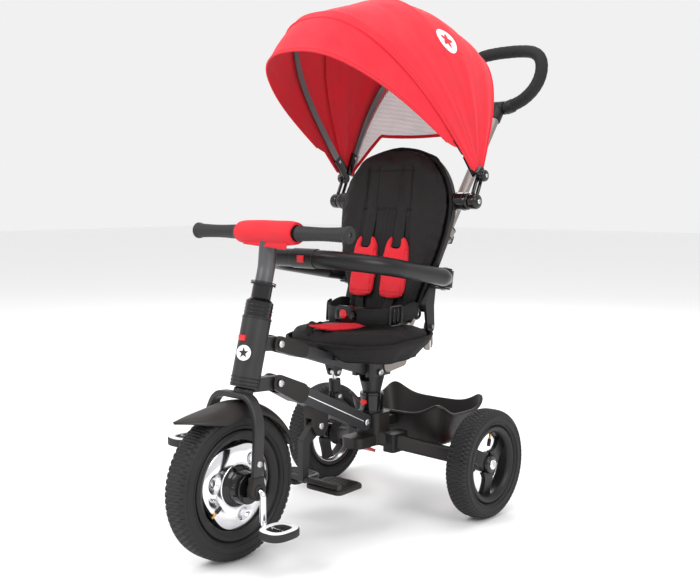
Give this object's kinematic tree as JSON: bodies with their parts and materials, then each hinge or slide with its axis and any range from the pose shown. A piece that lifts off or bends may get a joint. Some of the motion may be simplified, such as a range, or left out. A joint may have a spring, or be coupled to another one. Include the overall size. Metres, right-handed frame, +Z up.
{
  "type": "children's tricycle",
  "caption": "Children's pedal tricycle with a parent push handle, tilting canopy, swing-open guardrail, padded seat with harness, footrest, rear basket and folding frame.",
  "frame": {"origin": "middle of the footprint, on the ground", "axes": "+Z up, -Y the direction of travel, +X the rider's left"},
  "size_m": [0.448, 0.9782, 0.9702],
  "materials": {
    "tyre": "matte",
    "rim_silver": "satin",
    "hub_black": "satin",
    "chrome": "polished",
    "steel": "satin",
    "pedal_black": "matte",
    "frame_grey": "satin",
    "cast_grey": "satin",
    "stem_grey": "satin",
    "black_plastic": "satin",
    "gloss_black": "gloss",
    "grip_rubber": "matte",
    "foam_black": "matte",
    "button_red": "gloss",
    "bronze_bush": "satin",
    "fabric_red": "matte",
    "fabric_black": "matte",
    "webbing_black": "matte",
    "rod_champagne": "satin"
  },
  "bodies": {
    "rear_frame": {"hub_casting": "cast_grey", "rear_arms": "frame_grey", "brake_housings": "black_plastic", "steel_pins": "steel", "post_collar": "black_plastic", "seat_neck": "cast_grey", "seat_shell": "black_plastic", "seat_cushion": "fabric_black", "crotch_pad": "fabric_red", "seat_brackets": "rod_champagne", "basket": "black_plastic", "basket_clips": "black_plastic", "push_rod_lower": "rod_champagne"},
    "lower_tube": {"lower_tube": "frame_grey", "lower_fittings": "black_plastic"},
    "upper_tube": {"upper_tube": "frame_grey", "upper_fittings": "black_plastic"},
    "strut_rod": {"strut_rod": "steel"},
    "strut_sleeve": {"strut_sleeve": "black_plastic"},
    "footrest": {"footrest_arm": "frame_grey", "foot_plates": "black_plastic"},
    "head": {"head_casting": "cast_grey", "head_bushes": "bronze_bush"},
    "head_button": {"head_button": "button_red"},
    "steering": {"fork": "frame_grey", "fork_caps": "black_plastic", "fender": "black_plastic", "stem_collar": "gloss_black", "handlebar": "stem_grey", "grips": "grip_rubber", "bar_cover": "fabric_red"},
    "front_wheel": {"front_tyre": "tyre", "front_rim": "rim_silver", "front_hub": "hub_black"},
    "crank": {"crank": "chrome"},
    "pedal_left": {"pedal_left": "pedal_black"},
    "pedal_right": {"pedal_right": "pedal_black"},
    "rear_wheel_left": {"rear_tyre_left": "tyre", "rear_rim_left": "hub_black"},
    "rear_wheel_right": {"rear_tyre_right": "tyre", "rear_rim_right": "hub_black"},
    "brake_left": {"brake_pedal_left": "button_red"},
    "brake_right": {"brake_pedal_right": "button_red"},
    "post_button": {"post_button": "button_red"},
    "backrest": {"back_shell": "black_plastic", "back_cushion": "fabric_black", "shoulder_pads": "fabric_red", "harness_straps": "webbing_black", "back_brackets": "black_plastic"},
    "guardrail_left": {"guardrail_left": "foam_black"},
    "guardrail_right": {"guardrail_right": "foam_black"},
    "ring_button": {"ring_button": "button_red"},
    "canopy_rear": {"canopy_arms": "black_plastic", "canopy_rear": "fabric_red", "canopy_rib_rear": "black_plastic"},
    "canopy_front": {"canopy_front": "fabric_red", "canopy_rib_front": "black_plastic"},
    "push_rod_upper": {"push_rod_upper": "rod_champagne", "handle_clamp": "black_plastic"},
    "handle": {"handle_loop": "foam_black"}
  },
  "joints": [
    {"name": "frame_fold", "type": "hinge", "parent": "rear_frame", "child": "lower_tube", "pos_m": [0, -0.02806, 0.175], "axis": [1, 0, 0], "range_deg": [0, 35]},
    {"name": "upper_tube_fold", "type": "hinge", "parent": "rear_frame", "child": "upper_tube", "pos_m": [0, -0.00206, 0.27], "axis": [1, 0, 0], "range_deg": [0, 33.57]},
    {"name": "head_fold", "type": "hinge", "parent": "lower_tube", "child": "head", "pos_m": [0, -0.26006, 0.284], "axis": [1, 0, 0], "range_deg": [-50.39, 0]},
    {"name": "strut_rod_pivot", "type": "hinge", "parent": "upper_tube", "child": "strut_rod", "pos_m": [0, -0.10406, 0.282], "axis": [1, 0, 0], "range_deg": [-73.25, 0]},
    {"name": "strut_sleeve_pivot", "type": "hinge", "parent": "lower_tube", "child": "strut_sleeve", "pos_m": [0, -0.10106, 0.2365], "axis": [1, 0, 0], "range_deg": [-74.89, 0]},
    {"name": "footrest_fold", "type": "hinge", "parent": "lower_tube", "child": "footrest", "pos_m": [0, -0.15406, 0.19], "axis": [1, 0, 0], "range_deg": [0, 40]},
    {"name": "head_button_press", "type": "slide", "parent": "head", "child": "head_button", "axis": [0, 1, 0], "range_m": [0, 0.003], "stiffness_N_per_m": 200},
    {"name": "steering", "type": "hinge", "parent": "head", "child": "steering", "pos_m": [0, -0.37406, 0.127], "axis": [0, 0.2639, 0.9646], "range_deg": [-35, 35]},
    {"name": "front_wheel_spin", "type": "hinge", "parent": "steering", "child": "front_wheel", "pos_m": [0, -0.36206, 0.127], "axis": [1, 0, 0], "continuous": true},
    {"name": "crank_spin", "type": "hinge", "parent": "steering", "child": "crank", "pos_m": [0, -0.36206, 0.127], "axis": [1, 0, 0], "continuous": true},
    {"name": "pedal_left_spin", "type": "hinge", "parent": "crank", "child": "pedal_left", "pos_m": [0.1, -0.36206, 0.069], "axis": [1, 0, 0], "continuous": true},
    {"name": "pedal_right_spin", "type": "hinge", "parent": "crank", "child": "pedal_right", "pos_m": [-0.1, -0.36206, 0.185], "axis": [1, 0, 0], "continuous": true},
    {"name": "rear_wheel_left_spin", "type": "hinge", "parent": "rear_frame", "child": "rear_wheel_left", "pos_m": [0.201, 0.09794, 0.103], "axis": [1, 0, 0], "continuous": true},
    {"name": "rear_wheel_right_spin", "type": "hinge", "parent": "rear_frame", "child": "rear_wheel_right", "pos_m": [-0.201, 0.09794, 0.103], "axis": [1, 0, 0], "continuous": true},
    {"name": "brake_left_press", "type": "hinge", "parent": "rear_frame", "child": "brake_left", "pos_m": [0.15, 0.10394, 0.084], "axis": [1, 0, 0], "range_deg": [-50, 0]},
    {"name": "brake_right_lift", "type": "hinge", "parent": "rear_frame", "child": "brake_right", "pos_m": [-0.15, 0.10394, 0.084], "axis": [1, 0, 0], "range_deg": [0, 50]},
    {"name": "post_button_press", "type": "slide", "parent": "rear_frame", "child": "post_button", "axis": [0, 1, 0], "range_m": [0, 0.003], "stiffness_N_per_m": 200},
    {"name": "backrest_recline", "type": "hinge", "parent": "rear_frame", "child": "backrest", "pos_m": [0, 0.05994, 0.358], "axis": [-1, 0, 0], "range_deg": [0, 15]},
    {"name": "guardrail_left_swing", "type": "hinge", "parent": "backrest", "child": "guardrail_left", "pos_m": [0.122, 0.07294, 0.44953], "axis": [0, 0.172, 0.9851], "range_deg": [0, 60]},
    {"name": "guardrail_right_swing", "type": "hinge", "parent": "backrest", "child": "guardrail_right", "pos_m": [-0.122, 0.07294, 0.44953], "axis": [0, 0.172, 0.9851], "range_deg": [-60, 0]},
    {"name": "ring_button_press", "type": "slide", "parent": "guardrail_left", "child": "ring_button", "axis": [0, 1, 0], "range_m": [0, 0.003], "stiffness_N_per_m": 200},
    {"name": "canopy_tilt", "type": "hinge", "parent": "backrest", "child": "canopy_rear", "pos_m": [0, 0.09694, 0.595], "axis": [1, 0, 0], "range_deg": [-10, 25]},
    {"name": "canopy_fold", "type": "hinge", "parent": "canopy_rear", "child": "canopy_front", "pos_m": [0, 0.11994, 0.643], "axis": [1, 0, 0], "range_deg": [-30, 0]},
    {"name": "handle_height", "type": "slide", "parent": "rear_frame", "child": "push_rod_upper", "axis": [0, 0.592, 0.8059], "range_m": [-0.15, 0]},
    {"name": "handle_tilt", "type": "hinge", "parent": "push_rod_upper", "child": "handle", "pos_m": [0, 0.44771, 0.79988], "axis": [1, 0, 0], "range_deg": [-25, 25]}
  ],
  "couplings": [
    {"joint": "upper_tube_fold", "follows": "frame_fold", "ratio": 0.9533},
    {"joint": "head_fold", "follows": "frame_fold", "ratio": -1.434},
    {"joint": "strut_rod_pivot", "follows": "frame_fold", "ratio": -2.087},
    {"joint": "strut_sleeve_pivot", "follows": "frame_fold", "ratio": -2.134},
    {"joint": "crank_spin", "follows": "front_wheel_spin", "ratio": 1}
  ]
}
